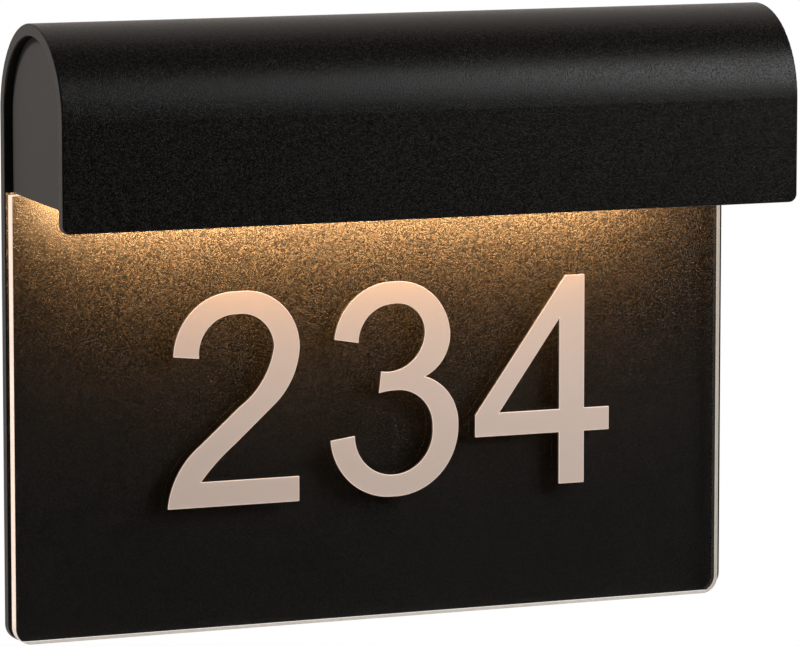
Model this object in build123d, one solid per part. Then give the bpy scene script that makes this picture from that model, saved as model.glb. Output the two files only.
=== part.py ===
from build123d import *
import math
import os

# Illuminated house number sign: a one-piece aluminium profile makes the back
# plate and a half-round hood, a clear panel with the digits hangs below the
# hood, and a closed LED light engine inside the hood shines down over it.
# Millimetres. The origin is on the wall face, halfway between the keyholes.
# +X is to the right, +Y goes into the wall and +Z is up.

# ---------------------------------------------------------------- hood profile
overall_width = 278.0
overall_height = 219.0
overall_depth = 64.0
wall = 4.3
hood_drop = 69.4
plate_corner_r = 6.0
lip_corner_r = 3.0
edge_break = 0.5
keyhole_drop = 35.0

# ------------------------------------------------------------------- end caps
end_recess = 3.0
cap_thickness = 3.0
cap_clearance = 0.2
cap_front_rise = 6.8
cap_panel_gap = 0.3
cap_lug_length = 10.0
cap_lug_depth = 9.0
cap_lug_height = 12.0
cap_lug_rise = 1.5
cap_foot_length = 7.0
cap_foot_thickness = 2.0
cap_foot_lip_gap = 8.0
cap_foot_lug_gap = 4.0

# ------------------------------------------------------------- keyholes, cable
keyhole_cable_gap = 8.5
keyhole_entry_r = 4.5
keyhole_slot_r = 2.6
keyhole_travel = 9.0
cable_tab_gap = 4.0
cable_entry_drop = 6.0
cable_hole_r = 6.0
cable_bore_r = 3.5
grommet_flange_r = 8.0
grommet_flange_thickness = 1.3
grommet_seat_clearance = 0.3

# ---------------------------------------------------------------- clear panel
panel_thickness = 4.0
panel_gap = 3.5
panel_overlap = 8.4
panel_right_inset = 4.5
panel_corner_r = 6.0
panel_screw_end_inset = 34.0
panel_screw_drop = 4.8
panel_screw_r = 2.0
panel_screw_head_r = 3.8
panel_screw_head_height = 2.2
panel_hole_clearance = 0.3
spacer_r = 4.5
panel_screw_end_gap = 0.3
hex_socket_width = 2.5
hex_socket_depth = 1.3
head_round_share = 0.6

# --------------------------------------------------------------------- digits
digit_height = 76.2
digit_thickness = 0.8
adhesive_thickness = 0.2
digit_base = 44.7
digit_row_left = -82.3
two_to_three = 62.1
three_to_four = 56.4

# ------------------------------------------------------------------- LED tray
tray_end_gap = 0.3
tray_wall_clearance = 0.3
tray_leg = 3.2
tray_shelf = 2.0
tray_panel_gap = 0.3
lens_ledge = 1.5
lens_rebate = 1.6
lens_thickness = 2.0
lens_clearance = 0.15
lens_to_led = 2.3
tray_tab_width = 12.0
tray_tab_height = 10.0
tray_tab_thickness = 2.4
tray_tab_rise = 0.5
tray_tab_lug_gap = 3.0

# ---------------------------------------------------------------- LED board
led_board_end_gap = 7.7
led_board_width = 12.0
led_board_thickness = 1.6
thermal_pad_thickness = 0.5
led_board_y = -24.0
led_end_margin = 10.0
led_length = 3.5
led_width = 2.8
led_thickness = 0.8
led_pitch = 10.0

# --------------------------------------------------------------------- driver
driver_length = 70.0
driver_width = 30.0
driver_height = 18.0
driver_wall = 1.5
driver_x = -25.0
driver_y = -32.0
driver_ear = 8.0
driver_ear_width = 10.0
driver_post_r = 2.2
driver_post_height = 2.5
driver_post_inset_x = 6.0
driver_post_inset_y = 5.0
driver_board_thickness = 1.6
driver_board_gap = 0.4
capacitor_r = 4.0
capacitor_height = 9.5
capacitor_rim_r = 0.6
capacitor_end_inset = 14.0
inductor_r = 5.0
inductor_waist_r = 2.25
inductor_winding_r = 4.3
inductor_height = 7.0
inductor_flange = 1.2
# Each chip: length, width, height, then its place from the case's middle.
rectifier = (8.0, 7.0, 3.0, -8.4, 6.5)
controller = (5.0, 4.0, 1.5, 11.2, 5.0)
sensor = (3.2, 1.6, 0.6, 11.2, -5.0)

# ------------------------------------------------------------ terminals, leads
terminal_cable_gap = 17.0
terminal_back_shift = 5.0
terminal_length = 14.0
terminal_width = 17.0
terminal_height = 11.0
terminal_pole_pitch = 8.0
terminal_wire_height = 4.5
terminal_tunnel_r = 2.2
terminal_screw_hole_r = 2.0
terminal_screw_r = 1.8
terminal_screw_sink = 1.0
terminal_screw_lead_gap = 0.1
terminal_lead_past_screw = 1.5
terminal_run_out = 4.0
driver_run_out = 6.0
lead_r = 0.8
lead_hole_clearance = 0.3
lead_pair_pitch = 3.4
lead_drop_run = 22.0
lead_bend_r = 4.0
lead_foot_r = 2.4
lead_exit_height = 2.5
lead_grommet_r = 4.6
lead_grommet_thickness = 4.0
lead_grommet_lip = 1.2
lead_grommet_gap = 1.0
lead_grommet_clearance = 0.05
socket_length = 5.0
socket_height = 4.2
socket_inset = 0.5
socket_margin = 1.6
plug_length = 8.0
plug_width = 4.0
plug_height = 2.6

# -------------------------------------------------------------------- screws
csk_screw_r = 2.0
csk_head_r = 3.8
csk_head_height = 2.2
cap_screw_length = 11.0
tray_screw_length = 8.5
screw_end_room = 0.5
cross_reach = 2.3
cross_half_width = 0.5
cross_depth = 1.1
small_screw_r = 1.25
small_head_r = 2.4
small_head_height = 1.4
small_screw_below_shelf = 0.4
slot_half_width = 0.3
slot_depth = 0.6
thread_clearance = 0.05

# How far a cutting tool runs past a face, and when two heights are the same.
over = 1.0
same = 0.01

# ----------------------------------------------------------- derived positions
half_width = overall_width / 2
bottom_z = keyhole_drop - overall_height
top_z = keyhole_drop
arc_r = overall_depth / 2
arc_z = top_z - arc_r
lip_z = top_z - hood_drop
plate_front = -wall
lip_back = -overall_depth + wall
mouth_middle = -overall_depth / 2

panel_back = plate_front - panel_gap
panel_front = panel_back - panel_thickness
panel_top = lip_z + panel_overlap
panel_left = -half_width
panel_right = half_width - panel_right_inset
panel_screw_x = half_width - panel_screw_end_inset
digit_back = panel_front - adhesive_thickness

cap_back_bottom = panel_top + cap_panel_gap
cap_front_bottom = lip_z + cap_front_rise
cap_outer_x = half_width - end_recess
cap_inner_x = cap_outer_x - cap_thickness
tray_half_length = cap_inner_x - tray_end_gap
lug_inner_x = cap_inner_x - cap_lug_length
tray_tab_x = lug_inner_x - tray_tab_lug_gap - tray_tab_width / 2
cable_entry_x = tray_tab_x - tray_tab_width / 2 - cable_tab_gap - grommet_flange_r
keyhole_x = cable_entry_x - grommet_flange_r - keyhole_cable_gap - keyhole_entry_r
terminal_x = cable_entry_x - grommet_flange_r - terminal_cable_gap - terminal_length / 2
led_board_length = 2 * (tray_half_length - led_board_end_gap)

tray_bottom = panel_top + tray_panel_gap
lens_bottom = tray_bottom + lens_ledge
lens_top = lens_bottom + lens_thickness
led_bottom = lens_top + lens_to_led
board_bottom = led_bottom + led_thickness
board_top = board_bottom + led_board_thickness
shelf_bottom = board_top + thermal_pad_thickness
shelf_top = shelf_bottom + tray_shelf
tray_back = plate_front
tray_front = lip_back + tray_wall_clearance
lens_back = tray_back - tray_leg + lens_rebate - lens_clearance
lens_front = tray_front + tray_leg - lens_rebate + lens_clearance
tab_middle_z = shelf_top + tray_tab_height / 2 + tray_tab_rise
lug_middle_z = shelf_top + cap_lug_height / 2 + cap_lug_rise
cable_entry_z = -cable_entry_drop

driver_floor = shelf_top
driver_board_bottom = driver_floor + driver_wall + driver_post_height
driver_board_top = driver_board_bottom + driver_board_thickness
driver_top = driver_floor + driver_height
driver_end = driver_x + driver_length / 2
lead_drop_x = driver_end + lead_drop_run
lead_height = driver_board_top + lead_exit_height
terminal_wire_z = shelf_top + terminal_wire_height
terminal_y = driver_y + terminal_back_shift
lead_drop_y = led_board_y - led_board_width / 2 - lead_grommet_r - lead_grommet_gap
socket_face = driver_end - driver_wall - driver_board_gap - socket_inset
plug_y = led_board_y - led_board_width / 2 + plug_width / 2


# -------------------------------------------------------------- small helpers
def block(x0, x1, y0, y1, z0, z1):
    """A box between two corners."""
    size = Box(x1 - x0, y1 - y0, z1 - z0)
    return Pos((x0 + x1) / 2, (y0 + y1) / 2, (z0 + z1) / 2) * size


def rod_y(x, z, r, y0, y1):
    """A round bar along Y from y0 to y1."""
    bar = Cylinder(r, abs(y1 - y0), rotation=(90, 0, 0))
    return Pos(x, (y0 + y1) / 2, z) * bar


def rod_z(x, y, r, z0, z1):
    """An upright round bar from z0 to z1."""
    return Pos(x, y, (z0 + z1) / 2) * Cylinder(r, abs(z1 - z0))


def cone_y(x, z, r_at_y0, r_at_y1, y0, y1):
    """A cone along Y, from radius r_at_y0 at y0 to r_at_y1 at y1, with y0 > y1."""
    cone = Cone(r_at_y0, r_at_y1, y0 - y1, rotation=(90, 0, 0))
    return Pos(x, (y0 + y1) / 2, z) * cone


def solids_of(parts):
    """One compound of separate solids."""
    return Compound(children=[solid for part in parts for solid in part.solids()])


def save(part, node):
    """Writes one sub-part to its own file."""
    part.label = node
    export_step(part, os.path.join("parts", node + ".step"))
    print(f"{node:24s} solids {len(part.solids()):3d}  volume {part.volume:10.1f}")


# ---------------------------------------------------------------- hood profile
def profile_face(inset, foot_z, lip_foot_z):
    """The filled end outline of the hood, drawn in from the outside by inset."""
    back, front = -inset, -overall_depth + inset
    crown = top_z - inset
    with BuildSketch(Plane.YZ) as sketch:
        with BuildLine():
            Line((back, foot_z), (back, arc_z))
            ThreePointArc((back, arc_z), (mouth_middle, crown), (front, arc_z))
            Line((front, arc_z), (front, lip_foot_z))
            Line((front, lip_foot_z), (back, foot_z))
        make_face()
    return sketch.sketch


def j_section():
    """The wall of the profile: plate, half-round hood and lip as one section."""
    inner_back, inner_front = plate_front, lip_back
    inner_crown = top_z - wall
    with BuildSketch(Plane.YZ) as sketch:
        with BuildLine():
            Line((0, bottom_z), (0, arc_z))
            ThreePointArc((0, arc_z), (mouth_middle, top_z), (-overall_depth, arc_z))
            Line((-overall_depth, arc_z), (-overall_depth, lip_z))
            Line((-overall_depth, lip_z), (inner_front, lip_z))
            Line((inner_front, lip_z), (inner_front, arc_z))
            ThreePointArc((inner_front, arc_z), (mouth_middle, inner_crown), (inner_back, arc_z))
            Line((inner_back, arc_z), (inner_back, bottom_z))
            Line((inner_back, bottom_z), (0, bottom_z))
        make_face()
    return sketch.sketch


def keyhole(x):
    """Round entry below, slot above, through the back plate."""
    inner_end = plate_front - over
    slot = rod_y(x, 0, keyhole_slot_r, over, inner_end)
    entry = rod_y(x, -keyhole_travel, keyhole_entry_r, over, inner_end)
    neck = block(
        x - keyhole_slot_r, x + keyhole_slot_r, inner_end, over, -keyhole_travel, 0)
    return slot + entry + neck


def countersunk_hole(x, z):
    """A screw hole in the back plate, countersunk from the wall side."""
    head_r = csk_head_r + thread_clearance
    shank_r = csk_screw_r + thread_clearance
    shank = rod_y(x, z, shank_r, over, plate_front - over)
    return shank + cone_y(x, z, head_r, shank_r, 0, -csk_head_height)


def tab_centres():
    return [-tray_tab_x, 0, tray_tab_x]


def lug_centre(side):
    return side * (cap_inner_x - cap_lug_length / 2)


def panel_screw_centres():
    return [-panel_screw_x, 0, panel_screw_x]


def corners_at(body, z):
    """The edges through the wall's thickness at one height."""
    return [e for e in body.edges().filter_by(Axis.Y) if abs(e.center().Z - z) < same]


def hood_backplate():
    """The one-piece profile with its holes and rounded corners."""
    body = extrude(j_section(), overall_width / 2, both=True)
    body = fillet(corners_at(body, bottom_z), plate_corner_r)
    body = fillet(corners_at(body, lip_z), lip_corner_r)
    ends = [e for e in body.edges() if abs(abs(e.center().X) - half_width) < same]
    lip_edges = [
        e for e in body.edges().filter_by(Axis.X) if abs(e.center().Z - lip_z) < same]
    body = fillet(ends + lip_edges, edge_break)
    for side in (-1, 1):
        body -= keyhole(side * keyhole_x)
        body -= countersunk_hole(lug_centre(side), lug_middle_z)
    for x in tab_centres():
        body -= countersunk_hole(x, tab_middle_z)
    for x in panel_screw_centres():
        z = panel_top - panel_screw_drop
        body -= rod_y(x, z, panel_screw_r + thread_clearance, over, plate_front - over)
    body -= rod_y(cable_entry_x, cable_entry_z, cable_hole_r, over, plate_front - over)
    seat_r = grommet_flange_r + grommet_seat_clearance
    seat_depth = grommet_flange_thickness + grommet_seat_clearance
    body -= rod_y(cable_entry_x, cable_entry_z, seat_r, 0, -seat_depth)
    return body


# ------------------------------------------------------------------- end caps
def end_cap(side):
    """A flat cap set back inside the hood's end, with a screw lug and a foot."""
    inset = wall + cap_clearance
    face = profile_face(inset, cap_back_bottom, cap_front_bottom)
    plate = extrude(face, cap_thickness)
    start = cap_inner_x if side > 0 else -cap_outer_x
    cap = Pos(start, 0, 0) * plate
    lug_front = plate_front - cap_lug_depth
    lug = block(
        lug_inner_x, cap_inner_x, lug_front, plate_front,
        lug_middle_z - cap_lug_height / 2, lug_middle_z + cap_lug_height / 2)
    foot = block(
        cap_inner_x - cap_foot_length, cap_inner_x,
        lip_back + cap_foot_lip_gap, lug_front - cap_foot_lug_gap,
        shelf_top, shelf_top + cap_foot_thickness)
    if side < 0:
        lug = mirror(lug, about=Plane.YZ)
        foot = mirror(foot, about=Plane.YZ)
    cap = cap + lug + foot
    hole_r = csk_screw_r + thread_clearance
    hole_end = -cap_screw_length - screw_end_room
    return cap - rod_y(lug_centre(side), lug_middle_z, hole_r, 0, hole_end)


def countersunk_screw(x, z, length):
    """A flat-head screw driven from the wall side, with a cross recess."""
    head = cone_y(x, z, csk_head_r, csk_screw_r, 0, -csk_head_height)
    screw = head + rod_y(x, z, csk_screw_r, -csk_head_height, -length)
    arm, slit = cross_reach, cross_half_width
    screw -= block(x - arm, x + arm, -cross_depth, over, z - slit, z + slit)
    screw -= block(x - slit, x + slit, -cross_depth, over, z - arm, z + arm)
    return screw


def cap_screws():
    return solids_of([
        countersunk_screw(lug_centre(side), lug_middle_z, cap_screw_length)
        for side in (-1, 1)])


# ---------------------------------------------------------------- clear panel
def clear_panel():
    """The clear sheet with rounded lower corners and three screw holes."""
    sheet = block(panel_left, panel_right, panel_front, panel_back, bottom_z, panel_top)
    sheet = fillet(corners_at(sheet, bottom_z), panel_corner_r)
    for x in panel_screw_centres():
        z = panel_top - panel_screw_drop
        hole_r = panel_screw_r + panel_hole_clearance
        sheet -= rod_y(x, z, hole_r, panel_back + over, panel_front - over)
    return sheet


def panel_spacers():
    """Nylon washers that hold the panel off the plate."""
    rings = []
    hole_r = panel_screw_r + panel_hole_clearance
    for x in panel_screw_centres():
        z = panel_top - panel_screw_drop
        ring = rod_y(x, z, spacer_r, plate_front, panel_back)
        rings.append(ring - rod_y(x, z, hole_r, plate_front + over, panel_back - over))
    return solids_of(rings)


def panel_screws():
    """Button-head screws through panel and spacers into the plate."""
    screws = []
    for x in panel_screw_centres():
        z = panel_top - panel_screw_drop
        head_front = panel_front - panel_screw_head_height
        head = rod_y(x, z, panel_screw_head_r, panel_front, head_front)
        rim = [e for e in head.edges() if abs(e.center().Y - head_front) < same]
        head = fillet(rim, panel_screw_head_height * head_round_share)
        socket = extrude(
            Plane.XZ * RegularPolygon(hex_socket_width / 2, 6, major_radius=False),
            hex_socket_depth)
        head -= Pos(x, head_front + hex_socket_depth, z) * socket
        screws.append(head + rod_y(x, z, panel_screw_r, panel_front, -panel_screw_end_gap))
    return solids_of(screws)


# --------------------------------------------------------------------- digits
# Each outline is a list of strokes that start where the last one ended. A
# stroke is one point for a straight line, or two points for an arc: the point
# it passes through and the point where it ends. Points are (across, up) in
# shares of the digit's height, from the lower left corner of its box.
TWO = (
    (0.031, 0.709),
    [
        ((0.089, 0.878), (0.351, 1.000)),
        ((0.571, 0.929), (0.660, 0.728)),
        ((0.614, 0.564), (0.530, 0.460)),
        ((0.338, 0.290),),
        ((0.242, 0.205), (0.165, 0.118)),
        ((0.656, 0.118),),
        ((0.656, 0.000),),
        ((0.000, 0.000),),
        ((0.044, 0.150), (0.163, 0.290)),
        ((0.359, 0.460),),
        ((0.470, 0.572), (0.532, 0.734)),
        ((0.487, 0.843), (0.347, 0.895)),
        ((0.213, 0.845), (0.158, 0.696)),
    ])
THREE = (
    (0.020, 0.750),
    [
        ((0.093, 0.913), (0.317, 1.010)),
        ((0.529, 0.933), (0.610, 0.754)),
        ((0.570, 0.624), (0.481, 0.553)),
        ((0.605, 0.466), (0.653, 0.316)),
        ((0.573, 0.099), (0.320, -0.008)),
        ((0.095, 0.076), (0.000, 0.274)),
        ((0.123, 0.290),),
        ((0.186, 0.146), (0.323, 0.095)),
        ((0.461, 0.152), (0.521, 0.310)),
        ((0.474, 0.438), (0.337, 0.496)),
        ((0.291, 0.494), (0.246, 0.486)),
        ((0.257, 0.588),),
        ((0.402, 0.619), (0.480, 0.754)),
        ((0.439, 0.864), (0.317, 0.905)),
        ((0.195, 0.854), (0.142, 0.729)),
    ])
FOUR = (
    (0.000, 0.248),
    [
        ((0.000, 0.354),),
        ((0.466, 1.000),),
        ((0.567, 1.000),),
        ((0.567, 0.359),),
        ((0.698, 0.359),),
        ((0.698, 0.248),),
        ((0.567, 0.248),),
        ((0.567, 0.000),),
        ((0.436, 0.000),),
        ((0.436, 0.248),),
    ])
FOUR_WINDOW = (
    (0.124, 0.359),
    [
        ((0.437, 0.796),),
        ((0.437, 0.359),),
    ])


def digit_face(outline):
    """One closed outline as a face, scaled to the digit height."""
    start, strokes = outline
    with BuildSketch() as sketch:
        with BuildLine():
            here = (start[0] * digit_height, start[1] * digit_height)
            first = here
            for stroke in strokes:
                points = [(u * digit_height, v * digit_height) for u, v in stroke]
                if len(points) == 1:
                    Line(here, points[0])
                else:
                    ThreePointArc(here, points[0], points[1])
                here = points[-1]
            Line(here, first)
        make_face()
    return sketch.sketch


def digit_plate(face, left, back, thickness):
    """A digit face stood upright, its back at the given depth."""
    plate = extrude(Plane.XZ * face, thickness)
    return Pos(left, back, bottom_z + digit_base) * plate


def digit_faces():
    """Node name, face and left edge of each digit in the row."""
    four = digit_face(FOUR) - digit_face(FOUR_WINDOW)
    three_left = digit_row_left + two_to_three
    return [
        ("number_2", digit_face(TWO), digit_row_left),
        ("number_3", digit_face(THREE), three_left),
        ("number_4", four, three_left + three_to_four),
    ]


# ------------------------------------------------------------------- LED tray
def led_tray():
    """The aluminium channel that closes the hood and carries the light engine."""
    length = tray_half_length
    tray = block(-length, length, tray_front, tray_back, tray_bottom, shelf_top)
    inner_back, inner_front = tray_back - tray_leg, tray_front + tray_leg
    tray -= block(-length, length, inner_front, inner_back, tray_bottom, shelf_bottom)
    slot_back = inner_back + lens_rebate
    slot_front = inner_front - lens_rebate
    slot_top = lens_top + lens_clearance
    tray -= block(-length, length, slot_front, slot_back, lens_bottom, slot_top)
    for x in tab_centres():
        half = tray_tab_width / 2
        tray += block(
            x - half, x + half, tray_back - tray_tab_thickness, tray_back,
            shelf_top, tab_middle_z + tray_tab_height / 2)
        hole_r = csk_screw_r + thread_clearance
        tray -= rod_y(x, tab_middle_z, hole_r, 0, -tray_screw_length - over)
    low, high = shelf_bottom - over, shelf_top + over
    tray -= rod_z(lead_drop_x, lead_drop_y, lead_grommet_r - lead_grommet_lip, low, high)
    for x in driver_screw_centres():
        tray -= rod_z(x, driver_y, small_screw_r + thread_clearance, low, high)
    return tray


def tray_screws():
    return solids_of([
        countersunk_screw(x, tab_middle_z, tray_screw_length)
        for x in tab_centres()])


def diffuser_lens():
    """The opal strip that slides into the tray's two grooves."""
    return block(
        -tray_half_length, tray_half_length, lens_front, lens_back,
        lens_bottom, lens_top)


def board_strip(z0, z1):
    """A strip with the LED board's outline."""
    half_l, half_w = led_board_length / 2, led_board_width / 2
    return block(-half_l, half_l, led_board_y - half_w, led_board_y + half_w, z0, z1)


def thermal_pad():
    return board_strip(board_top, shelf_bottom)


def led_board():
    return board_strip(board_bottom, board_top)


def led_chips():
    """A row of surface-mount LEDs along the board."""
    chips = []
    led_count = 1 + int((led_board_length - 2 * led_end_margin) / led_pitch + same)
    first = -(led_count - 1) * led_pitch / 2
    for index in range(led_count):
        x = first + index * led_pitch
        chips.append(block(
            x - led_length / 2, x + led_length / 2,
            led_board_y - led_width / 2, led_board_y + led_width / 2,
            led_bottom, board_bottom))
    return solids_of(chips)


# --------------------------------------------------------------------- driver
def driver_screw_centres():
    reach = driver_length / 2 + driver_ear / 2
    return [driver_x - reach, driver_x + reach]


def driver_post_centres():
    reach_x = driver_length / 2 - driver_post_inset_x
    reach_y = driver_width / 2 - driver_post_inset_y
    return [
        (driver_x + sx * reach_x, driver_y + sy * reach_y)
        for sx in (-1, 1) for sy in (-1, 1)]


def lead_offsets():
    return [-lead_pair_pitch / 2, lead_pair_pitch / 2]


def driver_block(inset, z0, z1):
    """A block with the case's outline, drawn in by inset on all four sides."""
    half_l, half_w = driver_length / 2 - inset, driver_width / 2 - inset
    return block(
        driver_x - half_l, driver_x + half_l, driver_y - half_w, driver_y + half_w, z0, z1)


def driver_case_base():
    """An open tray with two screw ears and four board posts."""
    floor_top = driver_floor + driver_wall
    half_ear = driver_ear_width / 2
    ears = driver_block(-driver_ear, driver_floor, floor_top)
    ears &= block(
        driver_x - driver_length, driver_x + driver_length,
        driver_y - half_ear, driver_y + half_ear, driver_floor, floor_top)
    base = driver_block(0, driver_floor, driver_top - driver_wall) + ears
    base -= driver_block(driver_wall, floor_top, driver_top)
    for x in driver_screw_centres():
        hole_r = small_screw_r + thread_clearance
        base -= rod_z(x, driver_y, hole_r, driver_floor - over, floor_top + over)
    for x, y in driver_post_centres():
        base += rod_z(x, y, driver_post_r, floor_top, driver_board_bottom)
    hole = Cylinder(
        lead_r + lead_hole_clearance, driver_wall + 2 * over, rotation=(0, 90, 0))
    for y in lead_exit_rows():
        base -= Pos(driver_end - driver_wall / 2, y, lead_height) * hole
    return base


def driver_case_lid():
    """A flat lid with a rim that drops inside the case."""
    lid_bottom = driver_top - driver_wall
    rim_bottom = lid_bottom - driver_wall
    rim_inset = driver_wall + driver_board_gap
    rim = driver_block(rim_inset, rim_bottom, lid_bottom)
    rim -= driver_block(rim_inset + driver_wall, rim_bottom - over, lid_bottom)
    return driver_block(0, lid_bottom, driver_top) + rim


def driver_board():
    inset = driver_wall + driver_board_gap
    return driver_block(inset, driver_board_bottom, driver_board_top)


def driver_capacitor():
    """A can capacitor standing on the board."""
    x = driver_x - driver_length / 2 + capacitor_end_inset
    top = driver_board_top + capacitor_height
    can = rod_z(x, driver_y, capacitor_r, driver_board_top, top)
    rim = [e for e in can.edges() if abs(e.center().Z - top) < same]
    return fillet(rim, capacitor_rim_r)


def inductor_core():
    """A drum core with two flanges."""
    x, y = driver_x, driver_y
    top = driver_board_top + inductor_height
    core = rod_z(x, y, inductor_waist_r, driver_board_top, top)
    core += rod_z(x, y, inductor_r, driver_board_top, driver_board_top + inductor_flange)
    return core + rod_z(x, y, inductor_r, top - inductor_flange, top)


def inductor_winding():
    """The copper winding that fills the drum's waist."""
    x, y = driver_x, driver_y
    low = driver_board_top + inductor_flange
    high = driver_board_top + inductor_height - inductor_flange
    winding = rod_z(x, y, inductor_winding_r, low, high)
    return winding - rod_z(x, y, inductor_waist_r, low - over, high + over)


def driver_chips():
    """Rectifier, controller and sensing resistor on the board."""
    chips = []
    for length, width, height, shift_x, shift_y in (rectifier, controller, sensor):
        x, y = driver_x + shift_x, driver_y + shift_y
        chips.append(block(
            x - length / 2, x + length / 2, y - width / 2, y + width / 2,
            driver_board_top, driver_board_top + height))
    return solids_of(chips)


def driver_screws():
    """Two pan-head screws that hold the case to the tray."""
    screws = []
    for x in driver_screw_centres():
        seat = driver_floor + driver_wall
        top = seat + small_head_height
        head = rod_z(x, driver_y, small_head_r, seat, top)
        slot = block(
            x - small_head_r, x + small_head_r,
            driver_y - slot_half_width, driver_y + slot_half_width,
            top - slot_depth, top + over)
        shank = rod_z(
            x, driver_y, small_screw_r, shelf_bottom - small_screw_below_shelf, seat)
        screws.append(head - slot + shank)
    return solids_of(screws)


# ------------------------------------------------------------ terminals, leads
def pole_rows():
    half = terminal_pole_pitch / 2
    return [terminal_y - half, terminal_y + half]


def drop_rows():
    return [lead_drop_y + offset for offset in lead_offsets()]


def lead_exit_rows():
    """Where leads leave the driver case: two to the terminals, two to the LEDs."""
    return pole_rows() + drop_rows()


def driver_sockets():
    """The input and output sockets on the driver board."""
    sockets = []
    for rows in (pole_rows(), drop_rows()):
        sockets.append(block(
            socket_face - socket_length, socket_face,
            min(rows) - socket_margin, max(rows) + socket_margin,
            driver_board_top, driver_board_top + socket_height))
    return solids_of(sockets)


def clamp_screw_centres():
    """Two screws to each pole."""
    reach = terminal_length / 4
    return [(terminal_x + dx, y) for y in pole_rows() for dx in (-reach, reach)]


def terminal_block():
    """A two-pole screw terminal that stands on the tray."""
    half_l, half_w = terminal_length / 2, terminal_width / 2
    top = shelf_top + terminal_height
    body = block(
        terminal_x - half_l, terminal_x + half_l, terminal_y - half_w,
        terminal_y + half_w, shelf_top, top)
    tunnel = Cylinder(terminal_tunnel_r, terminal_length + 2 * over, rotation=(0, 90, 0))
    for y in pole_rows():
        body -= Pos(terminal_x, y, terminal_wire_z) * tunnel
    for x, y in clamp_screw_centres():
        body -= rod_z(x, y, terminal_screw_hole_r, terminal_wire_z, top + over)
    return body


def terminal_screws():
    """The slotted screws that clamp the leads."""
    top = shelf_top + terminal_height - terminal_screw_sink
    low = terminal_wire_z + lead_r + terminal_screw_lead_gap
    reach, half_slot = terminal_screw_hole_r, slot_half_width
    screws = []
    for x, y in clamp_screw_centres():
        screw = rod_z(x, y, terminal_screw_r, low, top)
        screws.append(screw - block(
            x - reach, x + reach, y - half_slot, y + half_slot, top - slot_depth, top + over))
    return solids_of(screws)


def wire(points, radii):
    """A round lead along straight runs joined by tangent arcs."""
    path = FilletPolyline(*points, radius=radii)
    section = Plane(origin=path @ 0, z_dir=path % 0) * Circle(lead_r)
    lead = sweep(section, path=path)
    expected = math.pi * lead_r ** 2 * path.length
    print(f"lead length {path.length:6.1f}  volume ratio {lead.volume / expected:.4f}")
    return lead


def supply_lead(y):
    """From a terminal pole to the driver's input side."""
    start_x = terminal_x - terminal_length / 4 + terminal_lead_past_screw
    start = (start_x, y, terminal_wire_z)
    first = (terminal_x - terminal_length / 2 - terminal_run_out, y, terminal_wire_z)
    second = (driver_end + driver_run_out, y, lead_height)
    end = (socket_face, y, lead_height)
    return wire([start, first, second, end], [lead_bend_r, lead_bend_r])


def led_lead(index):
    """From the driver's output, down through the tray, to the LED board's plug."""
    offset = lead_offsets()[index]
    y = lead_drop_y + offset
    drop_x = lead_drop_x - offset
    plug_z = board_bottom - plug_height / 2
    start = (socket_face, y, lead_height)
    corner = (drop_x, y, lead_height)
    foot = (drop_x, y, plug_z)
    end = (drop_x, plug_y - plug_width / 2, plug_z)
    return wire([start, corner, foot, end], [lead_bend_r, lead_foot_r])


def board_plug():
    """The small connector on the LED board's underside."""
    half_l, half_w = plug_length / 2, plug_width / 2
    return block(
        lead_drop_x - half_l, lead_drop_x + half_l, plug_y - half_w, plug_y + half_w,
        board_bottom - plug_height, board_bottom)


def lead_grommet():
    """A soft ring that lines the lead hole in the tray."""
    x, y = lead_drop_x, lead_drop_y
    groove_r = lead_grommet_r - lead_grommet_lip
    flange = (lead_grommet_thickness - tray_shelf) / 2
    low, high = shelf_bottom - flange, shelf_top + flange
    ring = rod_z(x, y, lead_grommet_r, low, shelf_bottom)
    ring += rod_z(x, y, groove_r, shelf_bottom, shelf_top)
    ring += rod_z(x, y, lead_grommet_r, shelf_top, high)
    bore_r = lead_pair_pitch / 2 * math.sqrt(2) + lead_r + lead_grommet_clearance
    return ring - rod_z(x, y, bore_r, low - over, high + over)


def cable_grommet():
    """A soft bush for the house cable, its wall flange sunk below the wall face."""
    x, z = cable_entry_x, cable_entry_z
    seat = -grommet_flange_thickness - grommet_seat_clearance
    bush = rod_y(x, z, cable_hole_r, seat, plate_front)
    bush += rod_y(x, z, grommet_flange_r, -grommet_seat_clearance, seat)
    inner_end = plate_front - grommet_flange_thickness
    bush += rod_y(x, z, grommet_flange_r, plate_front, inner_end)
    return bush - rod_y(x, z, cable_bore_r, over, inner_end - over)


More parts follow.
